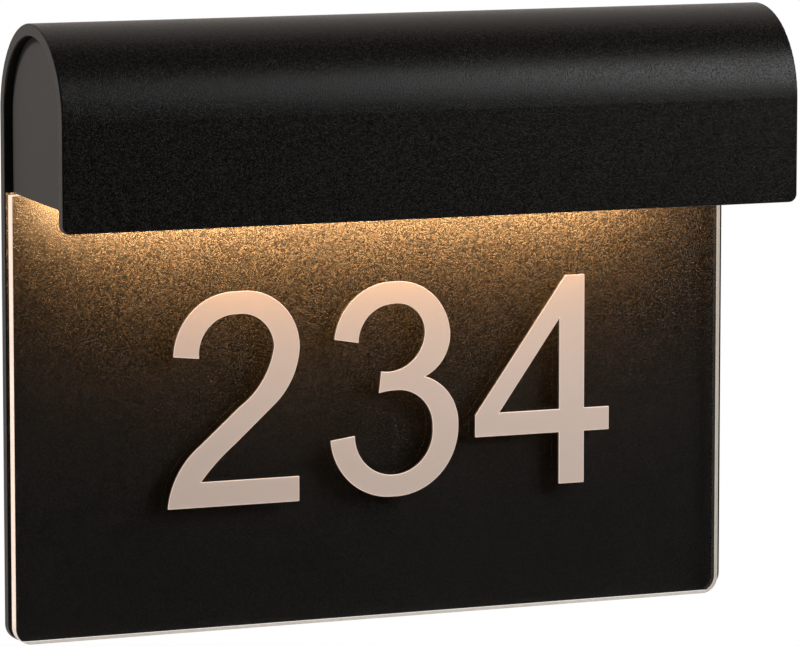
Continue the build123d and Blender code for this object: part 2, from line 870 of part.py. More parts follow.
# ---------------------------------------------------------------------- build
def main():
    os.makedirs("parts", exist_ok=True)
    save(hood_backplate(), "hood_backplate")
    save(end_cap(-1), "left_end_cap")
    save(end_cap(1), "right_end_cap")
    save(cap_screws(), "end_cap_screws")
    save(clear_panel(), "clear_panel")
    save(panel_spacers(), "panel_spacers")
    save(panel_screws(), "panel_screws")
    glue = []
    for node, face, left in digit_faces():
        save(digit_plate(face, left, digit_back, digit_thickness), node)
        glue.append(digit_plate(face, left, panel_front, adhesive_thickness))
    save(solids_of(glue), "number_adhesive")
    save(led_tray(), "led_tray")
    save(tray_screws(), "tray_screws")
    save(diffuser_lens(), "diffuser_lens")
    save(thermal_pad(), "thermal_pad")
    save(led_board(), "led_board")
    save(led_chips(), "led_chips")
    save(driver_case_base(), "driver_case_base")
    save(driver_case_lid(), "driver_case_lid")
    save(driver_board(), "driver_board")
    save(driver_capacitor(), "driver_capacitor")
    save(inductor_core(), "inductor_core")
    save(inductor_winding(), "inductor_winding")
    save(driver_chips(), "driver_chips")
    save(driver_sockets(), "driver_sockets")
    save(driver_screws(), "driver_screws")
    save(terminal_block(), "terminal_block")
    save(terminal_screws(), "terminal_screws")
    for name, y in zip(("supply_lead_a", "supply_lead_b"), pole_rows()):
        save(supply_lead(y), name)
    save(led_lead(0), "led_lead_positive")
    save(led_lead(1), "led_lead_negative")
    save(board_plug(), "board_plug")
    save(lead_grommet(), "lead_grommet")
    save(cable_grommet(), "cable_grommet")


main()
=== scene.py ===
# %% [markdown]
# # Dressing an illuminated house number sign
# The sign is a black aluminium profile folded into a back plate and a half-round hood. A clear
# acrylic sheet hangs in front of the plate and carries three satin metal digits, and a light
# engine in the hood shines down over them. The CAD model already has every solid in its place,
# in metres, so this lesson never moves anything. It loads the model as a fixed frame, sets up a
# small studio, gives each part the finish of its real material, and replaces the parts whose
# edges, rows or windings deserve more than a CAD solid can show.

# %% Load the CAD frame
import math

import bmesh
import bpy
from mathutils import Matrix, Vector


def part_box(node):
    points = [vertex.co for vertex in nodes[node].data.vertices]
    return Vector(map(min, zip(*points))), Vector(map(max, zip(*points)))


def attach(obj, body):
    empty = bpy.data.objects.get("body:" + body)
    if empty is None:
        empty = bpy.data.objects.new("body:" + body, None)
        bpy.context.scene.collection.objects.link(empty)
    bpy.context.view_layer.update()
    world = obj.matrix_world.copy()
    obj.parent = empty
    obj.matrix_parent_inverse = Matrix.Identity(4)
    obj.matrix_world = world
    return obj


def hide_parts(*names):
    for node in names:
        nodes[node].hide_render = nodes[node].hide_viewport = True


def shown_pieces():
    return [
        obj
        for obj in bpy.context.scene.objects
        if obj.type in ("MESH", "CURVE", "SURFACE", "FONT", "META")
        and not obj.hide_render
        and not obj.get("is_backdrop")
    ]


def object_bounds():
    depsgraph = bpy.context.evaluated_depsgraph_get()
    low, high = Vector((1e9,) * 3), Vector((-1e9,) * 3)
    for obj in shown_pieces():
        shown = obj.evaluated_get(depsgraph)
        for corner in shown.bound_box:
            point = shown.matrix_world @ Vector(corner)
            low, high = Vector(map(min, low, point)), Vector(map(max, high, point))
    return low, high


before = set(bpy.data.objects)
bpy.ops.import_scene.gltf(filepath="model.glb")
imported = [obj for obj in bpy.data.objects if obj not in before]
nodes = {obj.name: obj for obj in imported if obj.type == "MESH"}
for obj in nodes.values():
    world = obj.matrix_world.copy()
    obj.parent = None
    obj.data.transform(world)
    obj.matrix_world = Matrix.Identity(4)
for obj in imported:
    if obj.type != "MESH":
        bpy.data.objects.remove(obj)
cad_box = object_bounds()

scene = bpy.context.scene
mm = 0.001
print("CAD nodes:", len(nodes), "box in mm:", [round(v / mm, 1) for p in cad_box for v in p])

# %% [markdown]
# ## The camera
# A product photograph is taken from far off with a long lens, so that the front stays almost
# square. The camera was fitted to the sign's own edges in the photograph: it stands to the left
# and a little above. Its place is worked out from two angles and a distance, because those
# say more to a reader than three coordinates.

# %% Camera
view_azimuth = math.radians(-23.2044)
view_elevation = math.radians(7.19)
view_distance = 1.94305
view_target = Vector((12.105 * mm, 0, -79.117 * mm))
towards_camera = Vector((
    math.sin(view_azimuth) * math.cos(view_elevation),
    -math.cos(view_azimuth) * math.cos(view_elevation),
    math.sin(view_elevation)))

camera = bpy.data.objects.new("camera", bpy.data.cameras.new("long_lens"))
camera.data.lens = 242.92
camera.data.sensor_width = 36
camera.data.sensor_fit = "HORIZONTAL"
camera.location = view_target + towards_camera * view_distance
camera.rotation_mode = "QUATERNION"
camera.rotation_quaternion = (-towards_camera).to_track_quat("-Z", "Y")
scene.collection.objects.link(camera)
scene.camera = camera
scene.view_settings.view_transform = "Standard"
print("camera at", [round(v, 3) for v in camera.location])

# %% [markdown]
# ## Small tools
# Four helpers carry the whole script. One turns a web colour, which is how a designer writes a
# colour, into the linear numbers that a renderer adds up. One turns a real size in millimetres
# into the scale that a texture node wants. One adds a node with its settings and links, so that
# a material reads as a list. The last starts a material with its shader and its coordinates.

# %% Helpers for colour, scale and nodes
def srgb(text):
    """A hex colour as linear red, green, blue and alpha."""
    parts = [int(text[i:i + 2], 16) / 255 for i in (1, 3, 5)]
    return [c / 12.92 if c <= 0.04045 else ((c + 0.055) / 1.055) ** 2.4 for c in parts] + [1.0]


def per_mm(size):
    """The scale of a texture whose features are this many millimetres across."""
    return 1 / (size * mm)


def add(tree, kind, inputs=None, **settings):
    """Adds a node. Inputs are found by identifier, name or number, then linked or filled."""
    node = tree.nodes.new(kind)
    for name, value in settings.items():
        setattr(node, name, value)
    for key, value in (inputs or {}).items():
        match = [s for s in node.inputs if s.identifier == key]
        socket = match[0] if match else node.inputs[key]
        if isinstance(value, bpy.types.NodeSocket):
            tree.links.new(value, socket)
        else:
            socket.default_value = value
    return node


def start_material(name, **surface):
    """A material with one Principled shader, and the object's own coordinates."""
    material = bpy.data.materials.new(name)
    material.use_nodes = True
    tree = material.node_tree
    tree.nodes.clear()
    inputs = {key.replace("_", " "): value for key, value in surface.items()}
    shader = add(tree, "ShaderNodeBsdfPrincipled", inputs)
    add(tree, "ShaderNodeOutputMaterial", {"Surface": shader.outputs["BSDF"]})
    where = add(tree, "ShaderNodeTexCoord").outputs["Object"]
    return material, tree, shader, where


print("helpers ready")

# %% [markdown]
# ## The studio
# The sign floats on white in the photograph, as a product does in front of a bright sweep with
# a black flag beside the camera. The sweep behind gives the grey sheen on every edge that turns
# away from us. The flag keeps the clear sheet and the hood black where they mirror the front.
# The world can be all of this. Camera rays see plain white, and so do rays that have only
# passed through clear parts. Every other ray sees the sweep, the dim room or the flag, by its
# direction. Room and sweep are a trifle warm, as off-white walls are.

# %% World: white sweep behind, dim room in front, one black flag
ROOM_LEVEL = 0.135
SWEEP_LEVEL = 0.78
FLAG_LEVEL = 0.004
SWEEP_FULL_AT = 0.45
FLAG_RIM, FLAG_MIDDLE = 0.80, 0.97
flag_direction = (0.39, -0.91, -0.125)
off_white, plain_white = srgb("#fff4ec"), srgb("#ffffff")

world = bpy.data.worlds.new("white_sweep_and_flags")
world.use_nodes = True
scene.world = world
tree = world.node_tree
tree.nodes.clear()
direction = add(tree, "ShaderNodeTexCoord").outputs["Generated"]
parts = add(tree, "ShaderNodeSeparateXYZ", {"Vector": direction})
sweep = add(tree, "ShaderNodeMapRange", {
    "Value": parts.outputs["Y"], "From Min": 0.0, "From Max": SWEEP_FULL_AT,
    "To Min": ROOM_LEVEL, "To Max": SWEEP_LEVEL}, interpolation_type="SMOOTHSTEP")
facing = add(
    tree, "ShaderNodeVectorMath", {0: direction, 1: flag_direction}, operation="DOT_PRODUCT")
flag = add(tree, "ShaderNodeMapRange", {
    "Value": facing.outputs["Value"], "From Min": FLAG_RIM, "From Max": FLAG_MIDDLE,
    "To Min": 1.0, "To Max": FLAG_LEVEL / ROOM_LEVEL}, interpolation_type="SMOOTHSTEP")
level = add(tree, "ShaderNodeMath", {
    0: sweep.outputs["Result"], 1: flag.outputs["Result"]}, operation="MULTIPLY")
rays = add(tree, "ShaderNodeLightPath").outputs
bounced = add(tree, "ShaderNodeMath", {0: rays["Diffuse Depth"], 1: rays["Glossy Depth"]})
straight = add(tree, "ShaderNodeMath", {0: bounced.outputs[0], 1: 0.5}, operation="LESS_THAN")
clear_view = add(tree, "ShaderNodeMath", {
    0: rays["Is Transmission Ray"], 1: straight.outputs[0]}, operation="MULTIPLY")
plain = add(tree, "ShaderNodeMath", {
    0: rays["Is Camera Ray"], 1: clear_view.outputs[0]}, operation="MAXIMUM")
studio = add(tree, "ShaderNodeBackground", {
    "Color": off_white, "Strength": level.outputs["Value"]})
white = add(tree, "ShaderNodeBackground", {"Color": plain_white, "Strength": 1.0})
mix = add(tree, "ShaderNodeMixShader", {
    0: plain.outputs["Value"], 1: studio.outputs[0], 2: white.outputs[0]})
add(tree, "ShaderNodeOutputWorld", {"Surface": mix.outputs[0]})
print("world: room", ROOM_LEVEL, "sweep", SWEEP_LEVEL, "flag", FLAG_LEVEL)

# %% [markdown]
# ## Two lamps in the studio
# Each lamp is a soft rectangle, because a point would draw hard spots. The large one, to the
# right and above, draws the broad highlight on the hood and lights the digits. The small one at
# the left, high and a little behind, lights the end cap and lets the hood's rim throw its
# crescent of shadow on it. Its mirror image is left out, since it would only draw a glint on the
# hood's end.


# %% Soft box at the right, small lamp at the left
def area_lamp(name, place, aim, size, watts, colour=plain_white[:3]):
    """A rectangular lamp that the camera can't see, aimed along a direction."""
    data = bpy.data.lights.new(name, "AREA")
    data.shape = "RECTANGLE"
    data.size, data.size_y = size
    data.energy = watts
    data.color = colour
    lamp = bpy.data.objects.new(name, data)
    lamp.location = place
    lamp.rotation_mode = "QUATERNION"
    lamp.rotation_quaternion = Vector(aim).to_track_quat("-Z", "Y")
    lamp.visible_camera = False
    scene.collection.objects.link(lamp)
    return lamp


sign_middle = Vector((0, -32 * mm, -75 * mm))
key_direction = Vector((0.7, -0.8, 0.52)).normalized()
key_distance, key_size, key_watts = 1.2, (0.5, 0.7), 9.8
area_lamp(
    "soft_box", sign_middle + key_direction * key_distance, -key_direction, key_size, key_watts)
side_direction = Vector((-1, 0.33, 0.83)).normalized()
side_size, side_watts = (0.2, 0.2), 9.0
side_lamp = area_lamp(
    "side_lamp", sign_middle + side_direction, -side_direction, side_size, side_watts)
side_lamp.visible_glossy = False
print("soft box", key_distance, "m off, towards", [round(v, 2) for v in key_direction])

# %% [markdown]
# ## The floor
# The floor is a pale disc half a metre under the sign, since the sign hangs on a wall. It is
# white to the camera by emission on camera rays, and keeps a diffuse share that takes the
# shadow. Its underside is see-through, so that a view from below shows the lit lens.

# %% Floor
floor_drop, floor_radius, emitting_share = 0.5, 1.5, 0.75
floor_height = cad_box[0].z - floor_drop
floor_mesh = bpy.data.meshes.new("floor")
bm = bmesh.new()
bmesh.ops.create_circle(bm, cap_ends=True, segments=96, radius=floor_radius)
bmesh.ops.translate(bm, verts=bm.verts, vec=(0, 0, floor_height))
bm.to_mesh(floor_mesh)
bm.free()
floor = bpy.data.objects.new("floor", floor_mesh)
scene.collection.objects.link(floor)

floor_paint, tree, shader, _ = start_material(
    "pale_matt_floor_paint", Base_Color=srgb("#f2f1ee"), Roughness=0.8, Specular_IOR_Level=0.2)
rays = add(tree, "ShaderNodeLightPath").outputs
glow = add(tree, "ShaderNodeEmission", {"Color": plain_white, "Strength": 1.0})
share = add(tree, "ShaderNodeMath", {
    0: rays["Is Camera Ray"], 1: emitting_share}, operation="MULTIPLY")
lit = add(tree, "ShaderNodeMixShader", {
    0: share.outputs[0], 1: shader.outputs[0], 2: glow.outputs[0]})
back = add(tree, "ShaderNodeNewGeometry").outputs["Backfacing"]
clear = add(tree, "ShaderNodeBsdfTransparent")
seen = add(tree, "ShaderNodeMixShader", {0: back, 1: lit.outputs[0], 2: clear.outputs[0]})
add(tree, "ShaderNodeOutputMaterial", {"Surface": seen.outputs[0]}).is_active_output = True
floor_mesh.materials.append(floor_paint)
floor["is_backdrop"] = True
print("floor at z", round(floor_height, 3))

# %% [markdown]
# ## Light from the hood
# The real light engine is a row of warm white LEDs behind an opal lens. The lens itself glows in
# its material. A lamp as large as the lens adds its light without making the lens a white blot
# in views from below. The plate needs a third source: the coat's grains stand up and turn
# bright faces to the light that skims down over them, which a bump on a flat face hardly
# catches. So a thin strip lamp under the lens, which lights only the back plate, stands for that
# skimming light. A weaker twin nearer the plate lights only the digits and their tape, which are
# smooth and catch less of it. The strips stop short of the sign's ends, as the glow in the
# photograph does, and their spread is less than a half circle, so that the glow dies away before
# the plate's foot.

# %% Lamps under the hood
warm, deeper_warm = srgb("#ffca8e")[:3], srgb("#ffc788")[:3]
lens_low, lens_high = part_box("diffuser_lens")
lens_size = lens_high - lens_low
lens_middle = (lens_low + lens_high) / 2
lens_lamp_level = 1.3
lens_area = lens_size.x * lens_size.y
area_lamp(
    "lens_light", (lens_middle.x, lens_middle.y, lens_low.z - 2 * mm), (0, 0, -1),
    (lens_size.x, lens_size.y), lens_lamp_level * math.pi * lens_area, warm)

strip_x, strip_z, strip_size = -4 * mm, -28 * mm, (220 * mm, 3 * mm)
skim, digit_skim = [
    area_lamp(name, (strip_x, y * mm, strip_z), (0, 1, 0), strip_size, watts, deeper_warm)
    for name, y, watts in (("skimming_light", -31.4, 5.77), ("digit_skimming_light", -22.5, 1.5))]
skim.data.spread = math.radians(159.5)
digit_skim.data.spread = math.radians(176)
print("lens lamp", [round(v / mm, 1) for v in lens_size], "strips", skim.data.energy, "W")

# %% [markdown]
# ## Black textured powder coat
# The profile is extruded aluminium with a black sandtex powder coat: polyester powder, charged,
# sprayed and baked, which flows into small grains about 0.4 mm across. To the eye it is near
# black and matt, with a soft sheen on the curve and a fine speckle where light skims over it.
# A cell texture gives each grain a random number of its own and a dome. The number drives
# colour, roughness and height together, since all three belong to the same grain, and a power
# of it makes the bright grains rare.

# %% Powder coat
coat, tree, shader, where = start_material(
    "black_sandtex_powder_coat", Specular_IOR_Level=0.175)
grain_size, grain_depth, rarity, grain_reach = 0.42, 0.075, 1.7, 0.7
grains = add(tree, "ShaderNodeTexVoronoi", {"Vector": where, "Scale": per_mm(grain_size)})
each_grain = add(tree, "ShaderNodeSeparateColor", {"Color": grains.outputs["Color"]}).outputs[0]
sparkle = add(tree, "ShaderNodeMath", {0: each_grain, 1: rarity}, operation="POWER").outputs[0]
dome = add(tree, "ShaderNodeMapRange", {
    "Value": grains.outputs["Distance"], "From Max": grain_reach, "To Min": 1.0, "To Max": 0.0})
grain_height = add(tree, "ShaderNodeMath", {
    0: each_grain, 1: dome.outputs[0]}, operation="MULTIPLY").outputs[0]
coat_colour = add(tree, "ShaderNodeMix", {
    "Factor_Float": sparkle, "A_Color": srgb("#020202"), "B_Color": srgb("#181511")},
    data_type="RGBA")
gloss = add(tree, "ShaderNodeMapRange", {
    "Value": each_grain, "To Min": 0.28, "To Max": 0.38})
bump = add(tree, "ShaderNodeBump", {
    "Strength": 1.0, "Distance": grain_depth * mm, "Height": grain_height})
tree.links.new(coat_colour.outputs[2], shader.inputs["Base Color"])
tree.links.new(gloss.outputs[0], shader.inputs["Roughness"])
tree.links.new(bump.outputs[0], shader.inputs["Normal"])
print(coat.name, "grains", grain_size, "mm")


# %% [markdown]
# ## Finishes with one grain
# Most of the other parts are moulded, pressed or turned, and their finish is one even colour
# broken by a fine grain that also roughens the gloss. One function makes them: a darkest and a
# lightest colour, the grain's size and depth in millimetres, and a middle roughness. Noise stays
# near its middle value, so only that part of its range is spread over the colours and the gloss.

# %% A finish with one grain
COLOUR_SPAN, GLOSS_SPAN, GLOSS_SWING = (0.35, 0.65), (0.3, 0.7), 0.1


def grained(name, dark, light, size, depth, rough, stretch=(1, 1, 1), **surface):
    """A finish whose colour, gloss and relief follow one grain."""
    material, tree, shader, where = start_material(name, **surface)
    placed = add(tree, "ShaderNodeMapping", {"Vector": where, "Scale": stretch})
    grain = add(tree, "ShaderNodeTexNoise", {
        "Vector": placed.outputs[0], "Scale": per_mm(size), "Detail": 3.0, "Roughness": 0.6})
    height = grain.outputs["Fac"]
    share = add(tree, "ShaderNodeMapRange", {
        "Value": height, "From Min": COLOUR_SPAN[0], "From Max": COLOUR_SPAN[1]})
    colour = add(tree, "ShaderNodeMix", {
        "Factor_Float": share.outputs[0], "A_Color": srgb(dark), "B_Color": srgb(light)},
        data_type="RGBA")
    gloss = add(tree, "ShaderNodeMapRange", {
        "Value": height, "From Min": GLOSS_SPAN[0], "From Max": GLOSS_SPAN[1],
        "To Min": rough * (1 - GLOSS_SWING), "To Max": rough * (1 + GLOSS_SWING)})
    bump = add(tree, "ShaderNodeBump", {"Strength": 1.0, "Distance": depth * mm, "Height": height})
    tree.links.new(colour.outputs[2], shader.inputs["Base Color"])
    tree.links.new(gloss.outputs[0], shader.inputs["Roughness"])
    tree.links.new(bump.outputs[0], shader.inputs["Normal"])
    return material


print("one function for every finish with a grain")

# %% [markdown]
# ## The list of finishes
# Each line starts from what the real material is and how its surface was made, which also names
# it. The comment says what that gives the eye.

# %% Finishes, from the end caps to the screws
finishes = {
    # ABS from a spark-eroded mould: flat dark grey with an even, silky sheen.
    "cap": grained(
        "moulded_grey_abs", "#3b3937", "#413f3d", 0.5, 0.01, 0.65, Specular_IOR_Level=0.04),
    # Nylon left in its own colour: milky, slightly waxy, softly glossy.
    "nylon": grained("turned_natural_nylon", "#ddd8c9", "#e6e2d5", 0.8, 0.01, 0.38),
    # Acrylic foam tape: mid grey, dull, with the pores of the foam on its cut edge.
    "tape": grained("cut_acrylic_foam_tape", "#4a4a4a", "#585858", 0.3, 0.03, 0.8),
    # Mill-finish aluminium: bright, with fine die lines along the extrusion. The lines are
    # finer than a pixel on the real one, so they are drawn 0.6 mm apart.
    "tray": grained(
        "extruded_mill_finish_aluminium", "#b4b5b8", "#c4c5c7", 0.6, 0.004, 0.34,
        stretch=(0.02, 1, 1), Metallic=1.0),
    # Filled silicone: a dull blue-grey sheet that looks slightly dusty.
    "pad": grained("calendered_silicone_pad", "#6f7480", "#7c828c", 0.5, 0.02, 0.85),
    # White solder mask on an aluminium board: clean white with the faint orange peel of ink.
    "board": grained("printed_white_solder_mask", "#e2e2de", "#ececea", 1.2, 0.008, 0.35),
    # PPA cup of an LED: bright white, dead matt inside.
    "led_cup": grained("moulded_white_ppa", "#ecebe6", "#f5f4f0", 0.4, 0.004, 0.5),
    # Phosphor in clear silicone: egg-yolk yellow, glossy, with fine grains in it.
    "phosphor": grained("cast_phosphor_silicone", "#e8c24e", "#f0d070", 0.15, 0.002, 0.2),
    # ABS case from a fine spark texture: soft white without a glare.
    "case": grained("moulded_white_abs", "#d8d8d4", "#e0e0dc", 0.5, 0.012, 0.5),
    # Green solder mask over glass fibre: dark green with the weave just showing.
    "green": grained("printed_green_solder_mask", "#0d4a28", "#136033", 0.9, 0.008, 0.3),
    # Shrunk PVC sleeve: near black blue, glossy, faintly wrinkled.
    "sleeve": grained("shrunk_pvc_sleeve", "#141826", "#1c2234", 1.5, 0.02, 0.25),
    # Pressed and fired ferrite: dark grey, dull, like fine slate.
    "ferrite": grained("fired_ferrite", "#232323", "#303030", 0.25, 0.01, 0.6),
    # Enamelled copper wire: orange-red metal under clear lacquer.
    "copper": grained(
        "enamelled_copper_wire", "#b4582c", "#c4703c", 0.6, 0.002, 0.25, Metallic=1.0,
        Coat_Weight=0.6, Coat_Roughness=0.1),
    # Transfer-moulded epoxy: black, matt, with a slight grey bloom.
    "epoxy": grained("moulded_black_epoxy", "#151515", "#1e1e1e", 0.3, 0.006, 0.55),
    # Nylon connector housing: ivory and silky.
    "socket": grained("moulded_ivory_nylon", "#e2dcc8", "#eae5d4", 0.5, 0.006, 0.42),
    # Terminal body: light grey nylon, a little duller than the sockets.
    "terminal": grained("moulded_grey_nylon", "#c0c0bc", "#cacac6", 0.5, 0.008, 0.48),
    # EPDM rubber: soft black that hardly shines.
    "rubber": grained("moulded_epdm_rubber", "#141414", "#1d1d1c", 0.6, 0.015, 0.7),
    # Stainless screws: turned and pickled, so a quiet grey metal with fine turning marks.
    "screw": grained(
        "turned_stainless_steel", "#a09c95", "#b4b0a8", 0.4, 0.003, 0.3, Metallic=1.0),
}
# PVC insulation: extruded smooth over the strands, so an even colour with a soft shine along
# the lead.
for lead, dark, light in (
        ("brown", "#4a2614", "#56301c"), ("blue", "#123a86", "#1a4698"),
        ("red", "#9a1612", "#ac201a"), ("black", "#121212", "#1a1a1a")):
    finishes[lead] = grained(f"extruded_{lead}_pvc", dark, light, 1.5, 0.01, 0.35)
print("finishes:", len(finishes))

# %% [markdown]
# ## Opal lens
# The lens is opal acrylic, extruded, with white pigment that scatters the LEDs into one even
# glow. It could be made with real scattering, but at this size the eye only sees a bright warm
# sheet, a little brighter along the middle where the LEDs stand. So it glows by emission, with
# a slow change across its width and a soft gloss on top.

# %% Opal lens
opal, tree, shader, where = start_material(
    "extruded_opal_acrylic", Base_Color=srgb("#f4ead8"), Roughness=0.3)
place = add(tree, "ShaderNodeSeparateXYZ", {"Vector": where})
led_low, led_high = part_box("led_board")
led_line = (led_low.y + led_high.y) / 2
offset = add(tree, "ShaderNodeMath", {0: place.outputs["Y"], 1: led_line}, operation="SUBTRACT")
away = add(tree, "ShaderNodeMath", {0: offset.outputs[0]}, operation="ABSOLUTE")
glow_at_leds, glow_at_rim, fade_width = 1.35, 1.0, 30 * mm
glow = add(tree, "ShaderNodeMapRange", {
    "Value": away.outputs[0], "From Min": 0.0, "From Max": fade_width,
    "To Min": glow_at_leds, "To Max": glow_at_rim}, interpolation_type="SMOOTHSTEP")
tree.links.new(glow.outputs[0], shader.inputs["Emission Strength"])
shader.inputs["Emission Color"].default_value = srgb("#ffd9a6")
print(opal.name, "LED line at Y", round(led_line / mm, 1))

# %% [markdown]
# ## Clear acrylic
# The sheet is cast acrylic: its faces are as smooth as glass, and its sawn edges were flamed
# until they shone. Light that enters the top edge is trapped between the faces and leaves at
# the other edges, so the rim glows peach on the left, and pale grey along the bottom and the
# right. A renderer would need many thousands of rays to find that path. So the faces are true
# glass that lets lamp light through on shadow rays, and the edges get a painted glow of their own
# in the next step.

# %% Acrylic faces
acrylic, tree, shader, where = start_material(
    "cast_acrylic_polished_face", Base_Color=plain_white, Roughness=0.0, IOR=1.49,
    Transmission_Weight=1.0)
# Casting leaves a waviness of a few centimetres that only bends reflections a little.
wave = add(tree, "ShaderNodeTexNoise", {"Vector": where, "Scale": per_mm(40), "Detail": 1.0})
bump = add(tree, "ShaderNodeBump", {
    "Strength": 1.0, "Distance": 0.01 * mm, "Height": wave.outputs["Fac"]})
tree.links.new(bump.outputs[0], shader.inputs["Normal"])
rays = add(tree, "ShaderNodeLightPath").outputs
clear = add(tree, "ShaderNodeBsdfTransparent")
through = add(tree, "ShaderNodeMixShader", {
    0: rays["Is Shadow Ray"], 1: shader.outputs[0], 2: clear.outputs[0]})
add(tree, "ShaderNodeOutputMaterial", {"Surface": through.outputs[0]}).is_active_output = True
print(acrylic.name)

# %% [markdown]
# ## Flamed edges with a painted glow
# The edge finish gives off the trapped light itself, as a painted glow by emission. It is peach
# and brighter near the left edge and along the top, where the light enters, and pale grey
# elsewhere.
# The change is worked out from the place on the sheet, so it stays put from any side.

# %% Flamed edges with a painted glow
panel_low, panel_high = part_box("clear_panel")
# The edge finish glows by emission: painted light that stands for light carried through the sheet.
edge, tree, shader, where = start_material(
    "sawn_and_flamed_acrylic_edge", Base_Color=srgb("#5f5a56"), Roughness=0.3)
place = add(tree, "ShaderNodeSeparateXYZ", {"Vector": where})
# The glow changes between these distances from the left edge and the foot, and over this height
# below the top, in millimetres.
left_fade, foot_fade, top_fade = (6, 40), (2, 9), 8
near_left = add(tree, "ShaderNodeMapRange", {
    "Value": place.outputs["X"], "From Min": panel_low.x + left_fade[0] * mm,
    "From Max": panel_low.x + left_fade[1] * mm, "To Min": 1.0, "To Max": 0.0},
    interpolation_type="SMOOTHSTEP")
above_foot = add(tree, "ShaderNodeMapRange", {
    "Value": place.outputs["Z"], "From Min": panel_low.z + foot_fade[0] * mm,
    "From Max": panel_low.z + foot_fade[1] * mm, "To Min": 0.0, "To Max": 1.0})
at_left = add(tree, "ShaderNodeMath", {
    0: near_left.outputs[0], 1: above_foot.outputs[0]}, operation="MULTIPLY")
near_top = add(tree, "ShaderNodeMapRange", {
    "Value": place.outputs["Z"], "From Min": panel_high.z - top_fade * mm,
    "From Max": panel_high.z, "To Min": 0.0, "To Max": 1.0})
bright = add(tree, "ShaderNodeMath", {
    0: at_left.outputs[0], 1: near_top.outputs[0]}, operation="MAXIMUM")
# The saw left marks about 1.5 mm apart, which the flame melted to a soft ripple.
saw = add(tree, "ShaderNodeTexNoise", {"Vector": where, "Scale": per_mm(1.5), "Detail": 2.0})
ripple = add(tree, "ShaderNodeMapRange", {
    "Value": saw.outputs["Fac"], "From Min": 0.3, "From Max": 0.7, "To Min": 0.9, "To Max": 1.1})
glow_colour = add(tree, "ShaderNodeMix", {
    "Factor_Float": bright.outputs[0], "A_Color": srgb("#cbc2b6"), "B_Color": srgb("#ffe2cc")},
    data_type="RGBA")
level_elsewhere, level_where_bright = 0.74, 0.82
glow_level = add(tree, "ShaderNodeMapRange", {
    "Value": bright.outputs[0], "To Min": level_elsewhere, "To Max": level_where_bright})
glow = add(tree, "ShaderNodeMath", {
    0: glow_level.outputs[0], 1: ripple.outputs[0]}, operation="MULTIPLY")
bump = add(tree, "ShaderNodeBump", {
    "Strength": 1.0, "Distance": 0.02 * mm, "Height": saw.outputs["Fac"]})
tree.links.new(glow_colour.outputs[2], shader.inputs["Emission Color"])
tree.links.new(glow.outputs[0], shader.inputs["Emission Strength"])
tree.links.new(bump.outputs[0], shader.inputs["Normal"])
print(edge.name)

# %% [markdown]
# ## Satin metal for the digits
# The digits are cut from thin aluminium sheet, bead blasted and anodised to a pale champagne.
# The beads leave dents a few hundredths of a millimetre wide, which spread each reflection into
# an even, quiet sheen. No line of brushing shows in the photograph. The dents are far finer than
# a pixel, so the grain is drawn 0.4 mm wide and very shallow, only to keep the surface from
# looking painted. Round each digit runs a thin bright line, which is a painted highlight: the
# rounded cut edge glows a little by emission.

# %% Anodised face and cut edge
satin = grained(
    "champagne_anodised_aluminium", "#dfcec4", "#e4d4ca", 0.4, 0.004, 0.55, Metallic=1.0)
# The cut edge's emission is a painted highlight: a glow that no lamp gives.
cut_edge = grained(
    "cut_and_anodised_edge", "#8d8078", "#988b82", 0.4, 0.004, 0.5, Metallic=1.0,
    Emission_Color=srgb("#ffe3d2"), Emission_Strength=0.75)
# The plate's thin wall below the rounded edge faces away from the lamps, so it is painted dark as
# painted shade.
wall = grained("milled_and_anodised_wall", "#453b33", "#52473e", 0.4, 0.004, 0.5, Metallic=1.0)
print(satin.name, cut_edge.name, wall.name)


# %% [markdown]
# ## Rounded edges
# No real edge is perfectly sharp. A thin line of light along each edge is what tells the eye
# that a digit is a plate and not a print. A CAD mesh comes as loose triangles, so the copy is
# merged first, flat areas are dissolved into single faces, and then only the sharp edges are
# bevelled. The CAD node itself is never changed: the copy stands for it.

# %% Soft-edged copies
def shown(name, mesh, slot, *replaced):
    """Puts a finished mesh in the scene as a piece that rides on the sign."""
    piece = bpy.data.objects.new(name, mesh)
    scene.collection.objects.link(piece)
    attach(piece, "root")
    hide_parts(*replaced)
    print(f"{name}: {len(mesh.polygons)} faces")
    return piece


SAME_POINT, FLAT_WITHIN, SHARP_FROM = 0.001 * mm, math.radians(0.5), math.radians(30)


def soft_edged(node, width, segments=2):
    """The CAD node's mesh with every sharp edge rounded by this many millimetres."""
    mesh = nodes[node].data.copy()
    mesh.materials.clear()
    bm = bmesh.new()
    bm.from_mesh(mesh)
    bmesh.ops.remove_doubles(bm, verts=bm.verts, dist=SAME_POINT)
    bmesh.ops.dissolve_limit(bm, angle_limit=FLAT_WITHIN, verts=bm.verts, edges=bm.edges)
    edges = [e for e in bm.edges if e.is_manifold and e.calc_face_angle() > SHARP_FROM]
    bmesh.ops.bevel(
        bm, geom=edges, offset=width * mm, segments=segments, profile=0.5, affect="EDGES",
        clamp_overlap=True)
    for face in bm.faces:
        face.smooth = False
        face.material_index = 0
    bm.to_mesh(mesh)
    bm.free()
    return mesh


print("sharp from", round(math.degrees(SHARP_FROM)), "degrees")
